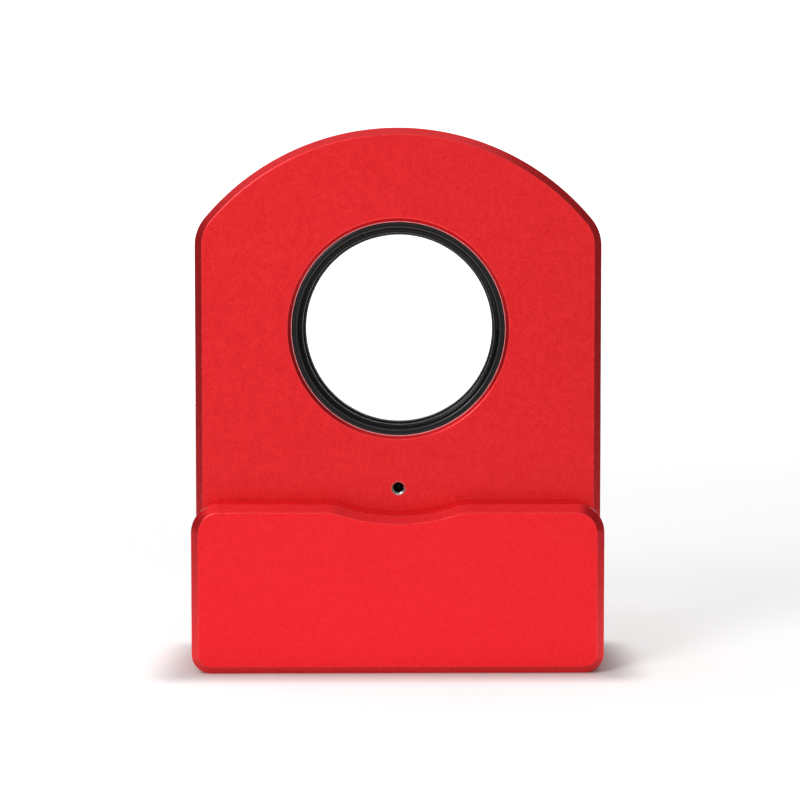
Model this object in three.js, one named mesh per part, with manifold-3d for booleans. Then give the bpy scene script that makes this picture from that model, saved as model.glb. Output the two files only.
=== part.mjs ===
// A filter drawer for a telescope's imaging train.
//
// A flat arched housing with a threaded port on each face carries a slot that is open at the
// bottom. A tray that holds one 50.8 mm (2 inch) filter slides in that slot, and a broad grip
// closes it. The part stands on the grip. X runs across the housing, the front port faces -Y,
// and Z points up. The origin is under the middle of the whole part, on the plane it stands on.
// Every length is in millimetres.

import * as THREE from 'three';
import { mergeVertices } from 'three/addons/utils/BufferGeometryUtils.js';
import Module from 'manifold-3d';

const wasm = await Module();
wasm.setup();

// ---------------------------------------------------------------- driving dimensions

// Housing.
const sideWall = 12; // beside the tray's channel
const crownWall = 11.4; // over the channel's round end
const archRadius = 54;
const archCornerRadius = 9; // where the arch meets the straight sides
const housingChamfer = 1.6;
const frontWall = 4.5;
const channelDepth = 9; // front to back, the slot that the tray slides in
const coverThickness = 4.5;
const coverSeam = 0.05; // between the housing and its rear cover

// Grip.
const gripHeight = 35.8;
const gripShelf = 22; // height of the face that closes on the housing
const gripFrontLip = 9.4; // how far the grip stands in front of the housing
const gripRearLip = 4;
const gripChamfer = 1.65;
const gripTopCorner = 6;
const gripBottomCorner = 4.1;
const notchRadius = 39.1; // round the optical axis, to clear a 78 mm camera body
const notchDepth = 2.4; // below the grip's top edge
const notchBlend = 8.4;

// Threaded port rings: M42 x 0.75 inside, held by a flange behind the wall.
const portMinorRadius = 20.6;
const portLeadIn = 1.1;
const ringRadius = 22.6;
const ringRecess = 0.9; // the ring's face below the housing's face
const flangeRadius = 27.6;
const flangeThickness = 1.6;
const ringScrewCircle = 25.3;
const ringScrewCount = 3;
const ringScrewFloor = 0.9; // metal left between a ring screw and the outer face

// Tray.
const trayRim = 5.4; // round the filter's seat
const trayRoot = 8; // how deep the tray is let into the grip
const filterThreadRadius = 23.6; // M48 x 0.75, minor radius
const filterSeatRadius = 25.8; // clears a filter cell
const filterSeatDepth = 4.4;
const fingerNotchRadius = 4;
const fingerNotchReach = 3; // beyond the filter's seat
const fingerNotchAngles = [45, 135, 225, 315];

// Lock screw hole, M3, tapped through the front wall.
const lockHoleRise = 2.6; // above the grip's top edge
const lockHoleRadius = 1.25;
const lockHoleMouth = 1.53;
const lockDimpleRadius = 1.4;

// Magnets that hold the drawer shut.
const magnetRadius = 4;
const magnetThickness = 3;
const magnetFlush = 0.1; // below the face round it

// Light seal round the root of the tray.
const sealWidth = 1.4;
const sealThickness = 0.9;
const sealProud = 0.15;

// Fasteners.
const coverScrew = { shank: 1.25, head: 2.35, headDepth: 1.35, length: 10 };
const coverScrewRise = 8; // the lowest ones, above the housing's bottom edge
const coverScrewBelow = 14; // the middle ones, below the optical axis
const coverScrewAbove = 11; // the high ones, above the optical axis
const topScrewAngle = 68; // the two over the tray, in degrees about the optical axis
const ringScrew = { shank: 1, head: 1.9, headDepth: 1 };
const trayScrew = { shank: 1.5, head: 2.75, headDepth: 3, length: 12 };
const trayScrewSpacing = 40;
const trayScrewWeb = 5.1; // metal between a screw's head and the tray
const coverDowel = { radius: 1.5, length: 6 };
const trayDowel = { radius: 1.5, length: 10 };
const trayDowelSpacing = 16;

// Clearances.
const slideGap = 0.3; // round the tray in the housing, and between grip and housing
const fitGap = 0.15; // round whatever is seated for good

// Facets in a full turn.
const boreFacets = 64;
const magnetFacets = 32;
const screwFacets = 16;
const chordError = 0.02; // of an outline's arcs

// ---------------------------------------------------------------- what follows from them

const trayHalfWidth = filterSeatRadius + trayRim;
const channelHalfWidth = trayHalfWidth + slideGap;
const halfWidth = channelHalfWidth + sideWall;
const boreHeight = gripHeight + notchRadius - notchDepth;
const archCentre = boreHeight + channelHalfWidth + crownWall - archRadius;
const housingDepth = frontWall + channelDepth + coverThickness;
const totalDepth = gripFrontLip + housingDepth + gripRearLip;
const gripFront = -totalDepth / 2;
const gripBack = totalDepth / 2;
const housingFront = gripFront + gripFrontLip;
const housingBack = housingFront + housingDepth;
const channelFront = housingFront + frontWall;
const channelBack = channelFront + channelDepth;
const channelMiddle = (channelFront + channelBack) / 2;
const housingBottom = gripShelf + slideGap;
const trayFront = channelFront + slideGap;
const trayBack = channelBack - slideGap;
const trayBottom = gripShelf - trayRoot;
const lockHoleHeight = gripHeight + lockHoleRise;
const boreRadius = ringRadius + fitGap;
const wallMiddle = (channelHalfWidth + halfWidth) / 2;
const sealOuter = trayHalfWidth + fitGap + sealWidth;
const magnetX = (sealOuter + fitGap + halfWidth) / 2;
const magnetY = (housingFront + channelBack) / 2;
const trayScrewHead = trayBottom - trayScrewWeb - trayScrew.headDepth;
const trayScrewX = trayScrewSpacing / 2;
const trayDowelX = trayDowelSpacing / 2;
const past = 1; // how far a cutter runs past the face that it opens
const beyond = 4 * halfWidth; // further than the part reaches

// ---------------------------------------------------------------- materials

const finish = (color, roughness, metalness) =>
  new THREE.MeshStandardMaterial({ color, roughness, metalness });

const redAnodised = finish(0xd9262b, 0.5, 0.6);
const blackAnodised = finish(0x17171a, 0.5, 0.5);
const stainless = finish(0xb9bcc0, 0.3, 1);
const blackSteel = finish(0x222326, 0.4, 0.9);
const nickel = finish(0xc9c7c0, 0.2, 1);
const felt = finish(0x0e0e10, 0.95, 0);

// ---------------------------------------------------------------- solids

const solid = (geometry) => {
  const bare = geometry.clone();
  bare.deleteAttribute('normal');
  bare.deleteAttribute('uv');
  const merged = mergeVertices(bare, 1e-4);
  return new wasm.Manifold(
    new wasm.Mesh({
      numProp: 3,
      vertProperties: Float32Array.from(merged.attributes.position.array),
      triVerts: Uint32Array.from(merged.index.array),
    }),
  );
};

const geometryOf = (manifold) => {
  const mesh = manifold.getMesh();
  const geometry = new THREE.BufferGeometry();
  geometry.setAttribute('position', new THREE.BufferAttribute(mesh.vertProperties, 3));
  geometry.setIndex(new THREE.BufferAttribute(mesh.triVerts, 1));
  const flat = geometry.toNonIndexed();
  flat.computeVertexNormals();
  return flat;
};

const cutAll = (body, cutters) => cutters.reduce((left, cutter) => left.subtract(cutter), body);

// A box from its lowest to its highest corner.
const box = (x0, x1, y0, y1, z0, z1) => {
  const geometry = new THREE.BoxGeometry(x1 - x0, y1 - y0, z1 - z0);
  return solid(geometry.translate((x0 + x1) / 2, (y0 + y1) / 2, (z0 + z1) / 2));
};

// A profile of [radius, distance] points turned about an axis along Y or Z.
const turnedY = (profile, x, z, facets) => {
  const points = profile.map(([radius, y]) => new THREE.Vector2(radius, y));
  return new THREE.LatheGeometry(points, facets).translate(x, 0, z);
};

const turnedZ = (profile, x, y, facets) => {
  const points = profile.map(([radius, z]) => new THREE.Vector2(radius, z));
  return new THREE.LatheGeometry(points, facets).rotateX(Math.PI / 2).translate(x, y, 0);
};

// A plain cylinder's profile, from the lower to the higher end.
const rod = (radius, from, to) => [
  [0, from],
  [radius, from],
  [radius, to],
  [0, to],
];

// A screw with a countersunk head, flush at `face` and pointing the way of `sign`.
const countersunk = ({ shank, head, headDepth }, length, face, sign) => [
  [0, face],
  [head, face],
  [shank, face + sign * headDepth],
  [shank, face + sign * length],
  [0, face + sign * length],
];

// The hole for that screw, with the fit's gap all round it and under its tip.
const countersunkHole = ({ shank, head, headDepth }, length, face, sign) => [
  [0, face - sign * past],
  [head + fitGap, face - sign * past],
  [head + fitGap, face],
  [shank + fitGap, face + sign * headDepth],
  [shank + fitGap, face + sign * (length + fitGap)],
  [0, face + sign * (length + fitGap)],
];

// A profile that runs towards -Y would turn its surface inside out, so it is reversed.
const ordered = (profile) => {
  const runsUp = profile[profile.length - 1][1] > profile[0][1];
  return runsUp ? profile : [...profile].reverse();
};

// Points along an arc, near enough together to stay within the chord error.
const arc = (cx, cz, radius, from, to) => {
  const step = 2 * Math.acos(1 - chordError / radius);
  const count = Math.ceil(Math.abs(to - from) / step);
  const points = [];
  for (let i = 0; i <= count; i += 1) {
    const angle = from + ((to - from) * i) / count;
    points.push(new THREE.Vector2(cx + radius * Math.cos(angle), cz + radius * Math.sin(angle)));
  }
  return points;
};

// An outline in X and Z pushed out along Y, with both rims chamfered if a chamfer is given.
const slab = (outline, y0, y1, chamfer = 0) => {
  const geometry = new THREE.ExtrudeGeometry(new THREE.Shape(outline), {
    depth: y1 - y0 - 2 * chamfer,
    bevelEnabled: chamfer > 0,
    bevelThickness: chamfer,
    bevelSize: chamfer,
    bevelOffset: -chamfer,
    bevelSegments: 1,
  });
  return solid(geometry.rotateX(Math.PI / 2).translate(0, y1 - chamfer, 0));
};

// ---------------------------------------------------------------- outlines

// Straight sides and a round top that meet in corner arcs.
const housingOutline = () => {
  const cornerX = halfWidth - archCornerRadius;
  const reach = archRadius - archCornerRadius;
  const cornerZ = archCentre + Math.sqrt(reach ** 2 - cornerX ** 2);
  const meet = Math.atan2(cornerZ - archCentre, cornerX);
  return [
    new THREE.Vector2(-halfWidth, housingBottom),
    new THREE.Vector2(halfWidth, housingBottom),
    ...arc(cornerX, cornerZ, archCornerRadius, 0, meet),
    ...arc(0, archCentre, archRadius, meet, Math.PI - meet).slice(1, -1),
    ...arc(-cornerX, cornerZ, archCornerRadius, Math.PI - meet, Math.PI),
  ];
};

// A rounded block whose top edge dips round the optical axis.
const gripOutline = () => {
  const right = halfWidth - gripBottomCorner;
  const topX = halfWidth - gripTopCorner;
  const topZ = gripHeight - gripTopCorner;
  const blendZ = gripHeight - notchBlend;
  const blendReach = notchRadius + notchBlend;
  const blendX = Math.sqrt(blendReach ** 2 - (boreHeight - blendZ) ** 2);
  const dip = Math.atan2(blendZ - boreHeight, blendX);
  const quarter = Math.PI / 2;
  return [
    ...arc(-right, gripBottomCorner, gripBottomCorner, 2 * quarter, 3 * quarter),
    ...arc(right, gripBottomCorner, gripBottomCorner, 3 * quarter, 4 * quarter),
    ...arc(topX, topZ, gripTopCorner, 0, quarter),
    ...arc(blendX, blendZ, notchBlend, quarter, dip + Math.PI),
    ...arc(0, boreHeight, notchRadius, dip, -Math.PI - dip).slice(1, -1),
    ...arc(-blendX, blendZ, notchBlend, -dip, quarter),
    ...arc(-topX, topZ, gripTopCorner, quarter, 2 * quarter),
  ];
};

// A tongue with a round end about the optical axis.
const tongueOutline = (half, bottom) => [
  new THREE.Vector2(-half, bottom),
  new THREE.Vector2(half, bottom),
  ...arc(0, boreHeight, half, 0, Math.PI),
];

// ---------------------------------------------------------------- places of the fasteners

const sideScrewHeights = [
  housingBottom + coverScrewRise,
  boreHeight - coverScrewBelow,
  boreHeight + coverScrewAbove,
];

// Halfway from the channel's round end to the arch, on a ray from the optical axis.
const topScrewPlace = (side) => {
  const angle = THREE.MathUtils.degToRad(topScrewAngle);
  const drop = boreHeight - archCentre;
  const toArch =
    Math.sqrt(archRadius ** 2 - (drop * Math.cos(angle)) ** 2) - drop * Math.sin(angle);
  const reach = (channelHalfWidth + toArch) / 2;
  return [side * reach * Math.cos(angle), boreHeight + reach * Math.sin(angle)];
};

const coverScrewPlaces = [-1, 1].flatMap((side) => [
  ...sideScrewHeights.map((z) => [side * wallMiddle, z]),
  topScrewPlace(side),
]);
const coverDowelPlaces = [
  [-wallMiddle, (sideScrewHeights[0] + sideScrewHeights[1]) / 2],
  [wallMiddle, (sideScrewHeights[1] + sideScrewHeights[2]) / 2],
];
const ringScrewPlaces = Array.from({ length: ringScrewCount }, (_, i) => {
  const angle = Math.PI / 2 + (2 * Math.PI * i) / ringScrewCount;
  return [ringScrewCircle * Math.cos(angle), boreHeight + ringScrewCircle * Math.sin(angle)];
});

// ---------------------------------------------------------------- port rings

// `face` is the housing's outer face, `inner` the wall's inner face and `sign` the way inwards.
const portOpening = (face, inner, sign) =>
  ordered([
    [0, face - sign * past],
    [boreRadius + ringRecess + past, face - sign * past],
    [boreRadius, face + sign * ringRecess],
    [boreRadius, inner - sign * (flangeThickness + fitGap)],
    [flangeRadius + fitGap, inner - sign * (flangeThickness + fitGap)],
    [flangeRadius + fitGap, inner + sign * past],
    [0, inner + sign * past],
  ]);

const ringScrewLength = (face, inner) => Math.abs(inner - face) - ringScrewFloor;

const ringScrewCutters = (face, inner, sign) =>
  ringScrewPlaces.map(([x, z]) => {
    const hole = countersunkHole(ringScrew, ringScrewLength(face, inner), inner, -sign);
    return solid(turnedY(ordered(hole), x, z, screwFacets));
  });

const ringScrewBody = (face, inner, sign, x, z) => {
  const profile = countersunk(ringScrew, ringScrewLength(face, inner), inner, -sign);
  return solid(turnedY(ordered(profile), x, z, screwFacets));
};

const portRing = (face, inner, sign) => {
  const outer = face + sign * ringRecess;
  const profile = [
    [portMinorRadius, outer + sign * portLeadIn],
    [portMinorRadius + portLeadIn, outer],
    [ringRadius, outer],
    [ringRadius, inner - sign * flangeThickness],
    [flangeRadius, inner - sign * flangeThickness],
    [flangeRadius, inner],
    [portMinorRadius, inner],
  ];
  const loop = sign > 0 ? profile : profile.reverse();
  const ring = solid(turnedY([...loop, loop[0]], 0, boreHeight, boreFacets));
  return cutAll(ring, ringScrewCutters(face, inner, sign));
};

// ---------------------------------------------------------------- housing

const housingBlank = slab(housingOutline(), housingFront, housingBack, housingChamfer);

const coverScrewCutters = coverScrewPlaces.map(([x, z]) =>
  solid(
    turnedY(
      ordered(countersunkHole(coverScrew, coverScrew.length, housingBack, -1)),
      x,
      z,
      screwFacets,
    ),
  ),
);

const coverDowelCutters = coverDowelPlaces.map(([x, z]) => {
  const reach = coverDowel.length / 2 + fitGap;
  const profile = rod(coverDowel.radius + fitGap, channelBack - reach, channelBack + reach);
  return solid(turnedY(profile, x, z, screwFacets));
});

const magnetCutters = (from, to) =>
  [-1, 1].map((side) =>
    solid(turnedZ(rod(magnetRadius + fitGap, from, to), side * magnetX, magnetY, magnetFacets)),
  );

const frontHousing = () => {
  const front = box(-beyond, beyond, -beyond, channelBack, 0, beyond);
  const channel = slab(
    tongueOutline(channelHalfWidth, housingBottom - past),
    channelFront,
    channelBack + past,
  );
  const lockMouth = lockHoleMouth - lockHoleRadius;
  const lockHole = [
    [0, housingFront - past],
    [lockHoleMouth + past, housingFront - past],
    [lockHoleRadius, housingFront + lockMouth],
    [lockHoleRadius, channelFront + past],
    [0, channelFront + past],
  ];
  const magnetDepth = magnetFlush + magnetThickness + fitGap;
  return cutAll(housingBlank.intersect(front), [
    channel,
    solid(turnedY(portOpening(housingFront, channelFront, 1), 0, boreHeight, boreFacets)),
    solid(turnedY(lockHole, 0, lockHoleHeight, screwFacets)),
    ...ringScrewCutters(housingFront, channelFront, 1),
    ...coverScrewCutters,
    ...coverDowelCutters,
    ...magnetCutters(housingBottom - past, housingBottom + magnetDepth),
  ]);
};

const rearCover = () => {
  const rear = box(-beyond, beyond, channelBack + coverSeam, beyond, 0, beyond);
  return cutAll(housingBlank.intersect(rear), [
    solid(turnedY(portOpening(housingBack, channelBack, -1), 0, boreHeight, boreFacets)),
    ...ringScrewCutters(housingBack, channelBack, -1),
    ...coverScrewCutters,
    ...coverDowelCutters,
  ]);
};

// ---------------------------------------------------------------- drawer

const trayScrewHeadTop = trayScrewHead + trayScrew.headDepth;
const trayScrewTop = trayScrewHeadTop + trayScrew.length;

const traySideCutters = (radius, spacing, from, to) =>
  [-1, 1].map((side) =>
    solid(turnedZ(rod(radius + fitGap, from, to), side * spacing, channelMiddle, screwFacets)),
  );

const dowelCutters = () => {
  const half = trayDowel.length / 2 + fitGap;
  return traySideCutters(trayDowel.radius, trayDowelX, trayBottom - half, trayBottom + half);
};

const sealBottom = gripShelf + sealProud - sealThickness;

const grip = () => {
  const blank = slab(gripOutline(), gripFront, gripBack, gripChamfer);
  const fit = trayHalfWidth + fitGap;
  const seat = sealWidth + fitGap;
  return cutAll(blank, [
    box(-beyond, beyond, housingFront - slideGap, housingBack + slideGap, gripShelf, beyond),
    box(-fit, fit, trayFront - fitGap, trayBack + fitGap, trayBottom - fitGap, beyond),
    box(
      -fit - seat,
      fit + seat,
      trayFront - fitGap - seat,
      trayBack + fitGap + seat,
      sealBottom - fitGap,
      beyond,
    ),
    ...traySideCutters(trayScrew.head, trayScrewX, -past, trayScrewHeadTop),
    ...traySideCutters(trayScrew.shank, trayScrewX, 0, gripShelf),
    ...dowelCutters(),
    ...magnetCutters(gripShelf - magnetFlush - magnetThickness - fitGap, gripShelf + past),
  ]);
};

const filterTray = () => {
  const blank = slab(tongueOutline(trayHalfWidth, trayBottom), trayFront, trayBack);
  const seatFloor = trayBack - filterSeatDepth;
  const filterHole = [
    [0, trayFront - past],
    [filterThreadRadius, trayFront - past],
    [filterThreadRadius, seatFloor],
    [filterSeatRadius, seatFloor],
    [filterSeatRadius, trayBack + past],
    [0, trayBack + past],
  ];
  const notchCircle = filterSeatRadius + fingerNotchReach - fingerNotchRadius;
  const fingerNotches = fingerNotchAngles.map((degrees) => {
    const angle = THREE.MathUtils.degToRad(degrees);
    const x = notchCircle * Math.cos(angle);
    const z = boreHeight + notchCircle * Math.sin(angle);
    return solid(turnedY(rod(fingerNotchRadius, seatFloor, trayBack + past), x, z, screwFacets));
  });
  const dimple = [
    [0, trayFront - past],
    [lockDimpleRadius + past, trayFront - past],
    [0, trayFront + lockDimpleRadius],
  ];
  return cutAll(blank, [
    solid(turnedY(filterHole, 0, boreHeight, boreFacets)),
    solid(turnedY(dimple, 0, lockHoleHeight, screwFacets)),
    ...fingerNotches,
    ...traySideCutters(trayScrew.shank, trayScrewX, trayBottom - past, trayScrewTop + fitGap),
    ...dowelCutters(),
  ]);
};

const lightSeal = () => {
  const inner = trayHalfWidth + fitGap;
  const top = sealBottom + sealThickness;
  const frame = box(
    -sealOuter,
    sealOuter,
    trayFront - fitGap - sealWidth,
    trayBack + fitGap + sealWidth,
    sealBottom,
    top,
  );
  const hole = box(
    -inner,
    inner,
    trayFront - fitGap,
    trayBack + fitGap,
    sealBottom - past,
    top + past,
  );
  return frame.subtract(hole);
};

const capScrew = [
  [0, trayScrewHead],
  [trayScrew.head, trayScrewHead],
  [trayScrew.head, trayScrewHeadTop],
  [trayScrew.shank, trayScrewHeadTop],
  [trayScrew.shank, trayScrewTop],
  [0, trayScrewTop],
];

// ---------------------------------------------------------------- the assembly

const housingBody = new THREE.Group();
const drawerBody = new THREE.Group();

const add = (group, name, manifold, material) => {
  const mesh = new THREE.Mesh(geometryOf(manifold), material);
  mesh.name = name;
  group.add(mesh);
};

const sideName = (side) => (side < 0 ? 'left' : 'right');

add(housingBody, 'front_housing', frontHousing(), redAnodised);
add(housingBody, 'rear_cover', rearCover(), redAnodised);
add(housingBody, 'front_thread_ring', portRing(housingFront, channelFront, 1), blackAnodised);
add(housingBody, 'rear_thread_ring', portRing(housingBack, channelBack, -1), blackAnodised);

ringScrewPlaces.forEach(([x, z], i) => {
  const front = ringScrewBody(housingFront, channelFront, 1, x, z);
  const rear = ringScrewBody(housingBack, channelBack, -1, x, z);
  add(housingBody, `front_ring_screw_${i + 1}`, front, blackSteel);
  add(housingBody, `rear_ring_screw_${i + 1}`, rear, blackSteel);
});

coverScrewPlaces.forEach(([x, z], i) => {
  const profile = ordered(countersunk(coverScrew, coverScrew.length, housingBack, -1));
  add(housingBody, `cover_screw_${i + 1}`, solid(turnedY(profile, x, z, screwFacets)), stainless);
});

coverDowelPlaces.forEach(([x, z]) => {
  const half = coverDowel.length / 2;
  const profile = rod(coverDowel.radius, channelBack - half, channelBack + half);
  const pin = solid(turnedY(profile, x, z, screwFacets));
  add(housingBody, `cover_dowel_${sideName(x)}`, pin, stainless);
});

add(drawerBody, 'grip', grip(), redAnodised);
add(drawerBody, 'filter_tray', filterTray(), blackAnodised);
add(drawerBody, 'light_seal', lightSeal(), felt);

for (const side of [-1, 1]) {
  const housingMagnet = rod(
    magnetRadius,
    housingBottom + magnetFlush,
    housingBottom + magnetFlush + magnetThickness,
  );
  const gripMagnet = rod(
    magnetRadius,
    gripShelf - magnetFlush - magnetThickness,
    gripShelf - magnetFlush,
  );
  const pin = rod(
    trayDowel.radius,
    trayBottom - trayDowel.length / 2,
    trayBottom + trayDowel.length / 2,
  );
  const name = sideName(side);
  const x = side * magnetX;
  add(
    housingBody,
    `housing_magnet_${name}`,
    solid(turnedZ(housingMagnet, x, magnetY, magnetFacets)),
    nickel,
  );
  add(
    drawerBody,
    `grip_magnet_${name}`,
    solid(turnedZ(gripMagnet, x, magnetY, magnetFacets)),
    nickel,
  );
  add(
    drawerBody,
    `tray_screw_${name}`,
    solid(turnedZ(capScrew, side * trayScrewX, channelMiddle, screwFacets)),
    stainless,
  );
  add(
    drawerBody,
    `tray_dowel_${name}`,
    solid(turnedZ(pin, side * trayDowelX, channelMiddle, screwFacets)),
    stainless,
  );
}

const filterDrawer = new THREE.Group();
filterDrawer.add(housingBody, drawerBody);

export default filterDrawer;
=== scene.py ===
"""The looks of a telescope's filter drawer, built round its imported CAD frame.

An arched housing with a threaded port on each face stands on the grip of the tray that slides in
it. X runs across the housing, the front port faces -Y and Z points up. Lengths are in metres.
"""

import math

import bmesh
import bpy
from bpy.props import FloatProperty, FloatVectorProperty, IntProperty, PointerProperty
from mathutils import Matrix, Vector


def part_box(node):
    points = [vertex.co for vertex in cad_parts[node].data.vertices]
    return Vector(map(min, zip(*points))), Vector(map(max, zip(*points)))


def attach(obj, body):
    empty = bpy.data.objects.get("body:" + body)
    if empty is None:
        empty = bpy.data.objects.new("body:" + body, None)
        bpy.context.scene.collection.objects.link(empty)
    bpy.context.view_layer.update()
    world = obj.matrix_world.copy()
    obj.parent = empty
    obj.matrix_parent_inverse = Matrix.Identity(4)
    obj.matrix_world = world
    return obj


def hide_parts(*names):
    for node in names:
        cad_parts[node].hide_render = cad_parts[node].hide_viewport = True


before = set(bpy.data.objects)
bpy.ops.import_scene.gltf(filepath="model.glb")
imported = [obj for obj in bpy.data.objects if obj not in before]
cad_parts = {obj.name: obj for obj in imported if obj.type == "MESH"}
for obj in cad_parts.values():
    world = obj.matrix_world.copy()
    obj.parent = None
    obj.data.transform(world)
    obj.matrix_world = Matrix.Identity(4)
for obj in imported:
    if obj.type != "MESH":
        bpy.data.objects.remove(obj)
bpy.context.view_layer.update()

bl_info = {
    "name": "Filter Drawer",
    "version": (1, 0, 0),
    "blender": (4, 5, 0),
    "location": "3D View > Sidebar > Filter Drawer",
    "description": "Builds the finished pieces of a telescope's filter drawer",
    "category": "Object",
}

MM = 0.001
ORIGIN = Vector((0, 0, 0))
ALONG_Y = Vector((0, 1, 0))
ALONG_Z = Vector((0, 0, 1))
TOWARDS_FRONT = Vector((0, -1, 0))
PAST = 1 * MM  # how far a cutter runs past the face that it opens
NUDGE = 0.01 * MM  # keeps two cuts off the same plane
MERGE = 0.001 * MM  # points this close become one
FINE_MERGE = 0.0005 * MM  # the same on a thread or after a cut
SHARP = math.radians(30)  # an outer edge that turns more than this is rounded
SMOOTH = math.radians(38)  # an edge that turns less than this is shaded smooth
EDGE = 1  # the material slot of a piece's rounded edges, whose lighter colour on red and black pieces is a painted highlight
FACET_LENGTH = 0.5 * MM
FACET_TURN = math.radians(6)
PIN_FACETS = 48
CAP_FACETS = 56
DISC_FACETS = 64
THREAD_FACETS = 160
THREAD_OVERLAP = 0.04 * MM  # how far a thread's ridge runs into its wall
COUNTERSUNK_SHANK = 0.53  # a shank's radius as a share of its head's
COUNTERSUNK_HOLE = 0.56  # the same of the hole that is cut for the screw
CAP_SHANK = 0.545
CAP_HOLE = 0.57
CAP_HEAD = 3.0 * MM  # height of a cap screw's head
SCREW_TIP = 0.3  # a tip's taper as a share of the shank's radius
TIP_END = 0.7  # the radius at its end, as a share too


# ---------------- places from the frame

def corners(*nodes):
    """The lowest and highest corner of several CAD nodes together."""
    boxes = [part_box(node) for node in nodes]
    low = Vector([min(box[0][i] for box in boxes) for i in range(3)])
    high = Vector([max(box[1][i] for box in boxes) for i in range(3)])
    return low, high


def middle(node):
    """The middle of a CAD node's box."""
    low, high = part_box(node)
    return (low + high) / 2


def radius_of(node):
    """The radius of a round CAD node."""
    low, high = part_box(node)
    return (high.x - low.x) / 2


def axis_of(node, axis):
    """Where a round CAD node's axis crosses the plane y = 0 or z = 0."""
    place = middle(node)
    if axis == ALONG_Y:
        return Vector((place.x, 0, place.z))
    return Vector((place.x, place.y, 0))


HOUSING_LOW, HOUSING_HIGH = corners("front_housing", "rear_cover")
BODY_LOW, BODY_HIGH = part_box("front_housing")
COVER_LOW, COVER_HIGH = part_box("rear_cover")
GRIP_LOW, GRIP_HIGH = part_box("grip")
TRAY_LOW, TRAY_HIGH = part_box("filter_tray")
SEAL_LOW, SEAL_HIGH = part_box("light_seal")
BORE = middle("front_thread_ring")
BORE_AXIS = axis_of("front_thread_ring", ALONG_Y)
FLANGE_RADIUS = radius_of("front_thread_ring")
LOCK_RISE = 2.6 * MM  # from the grip's top edge to the lock screw's axis
LOCK_AXIS = Vector((0, 0, GRIP_HIGH.z + LOCK_RISE))
HALF_WIDTH = HOUSING_HIGH.x
COVER_SCREWS = sorted(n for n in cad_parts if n.startswith("cover_screw_"))
FRONT_RING_SCREWS = sorted(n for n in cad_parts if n.startswith("front_ring_screw_"))
REAR_RING_SCREWS = sorted(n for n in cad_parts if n.startswith("rear_ring_screw_"))
SIDES = ("left", "right")


# ---------------- sizes and finishes

def length(name, text, millimetres):
    """A size that a user can change, in millimetres."""
    return FloatProperty(
        name=name, description=text, default=millimetres * MM, min=0, precision=5, unit="LENGTH"
    )


def colour(name, text, default):
    """A colour that a user can change."""
    return FloatVectorProperty(
        name=name, description=text, default=default, min=0, max=1, size=3, subtype="COLOR"
    )


class DrawerSizes(bpy.types.PropertyGroup):
    """The sizes that the frame's boxes don't give."""

    arch_radius: length("Arch radius", "Radius of the housing's round top", 54)
    arch_corner: length("Arch corner", "Radius where the arch meets the sides", 9)
    housing_chamfer: length("Housing chamfer", "Chamfer round both faces", 1.6)
    front_wall: length("Port wall", "Thickness of the wall that holds a port", 4.5)
    edge_round: length("Edge rounding", "Rounding that blasting leaves on an edge", 0.12)
    fine_round: length("Fine rounding", "Rounding of a turned edge", 0.18)
    grip_chamfer: length("Grip chamfer", "Chamfer round the grip's faces", 1.65)
    grip_top_corner: length("Grip's top corner", "Radius of its upper corners", 6)
    grip_bottom_corner: length("Grip's bottom corner", "Radius of its lower corners", 4.1)
    notch_radius: length("Notch radius", "The grip's dip round the optical axis", 39.1)
    notch_blend: length("Notch blend", "Radius where the dip meets the top edge", 8.4)
    slide_gap: length("Sliding gap", "Running clearance of the drawer", 0.3)
    fit_gap: length("Fitting gap", "Clearance round a seated piece", 0.15)
    ring_radius: length("Ring radius", "Outer radius of a port ring", 22.6)
    ring_recess: length("Ring recess", "The ring's face below the housing's face", 0.9)
    port_mouth: length("Port mouth", "Radius of the housing's countersunk mouth", 23.65)
    port_minor: length("Port minor radius", "Crest radius of the port's thread", 20.6)
    port_major: length("Port major radius", "Root radius of the port's thread", 21.05)
    port_pitch: length("Port pitch", "Pitch of the port's thread", 0.75)
    port_lead_in: length("Port lead-in", "Chamfer at the mouth of the thread", 1.1)
    flange_thickness: length("Flange thickness", "Of a port ring's flange", 1.6)
    lock_mouth: length("Lock hole mouth", "Radius of its countersunk mouth", 1.48)
    lock_minor: length("Lock hole minor radius", "Crest radius of its thread", 1.13)
    lock_major: length("Lock hole major radius", "Root radius of its thread", 1.44)
    lock_pitch: length("Lock hole pitch", "Pitch of the lock screw's thread", 0.5)
    filter_minor: length("Filter minor radius", "Crest radius of the filter's thread", 23.6)
    filter_major: length("Filter major radius", "Root radius of the filter's thread", 24.0)
    filter_pitch: length("Filter pitch", "Pitch of the filter's thread", 0.75)
    filter_seat: length("Filter seat", "Radius of the seat for the filter's cell", 25.8)
    filter_seat_depth: length("Filter seat depth", "Depth of that seat", 4.4)
    finger_radius: length("Finger notch", "Radius of the notches round the seat", 4)
    finger_reach: length("Finger notch reach", "How far they go past the seat", 3)
    socket_share: FloatProperty(
        name="Socket share", description="A screw's hexagon socket as a share of its head",
        default=0.52, min=0.2, max=0.8, subtype="FACTOR",
    )
    facets: IntProperty(
        name="Facets", description="Facets in a full turn of a bore", default=160, min=24
    )


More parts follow.
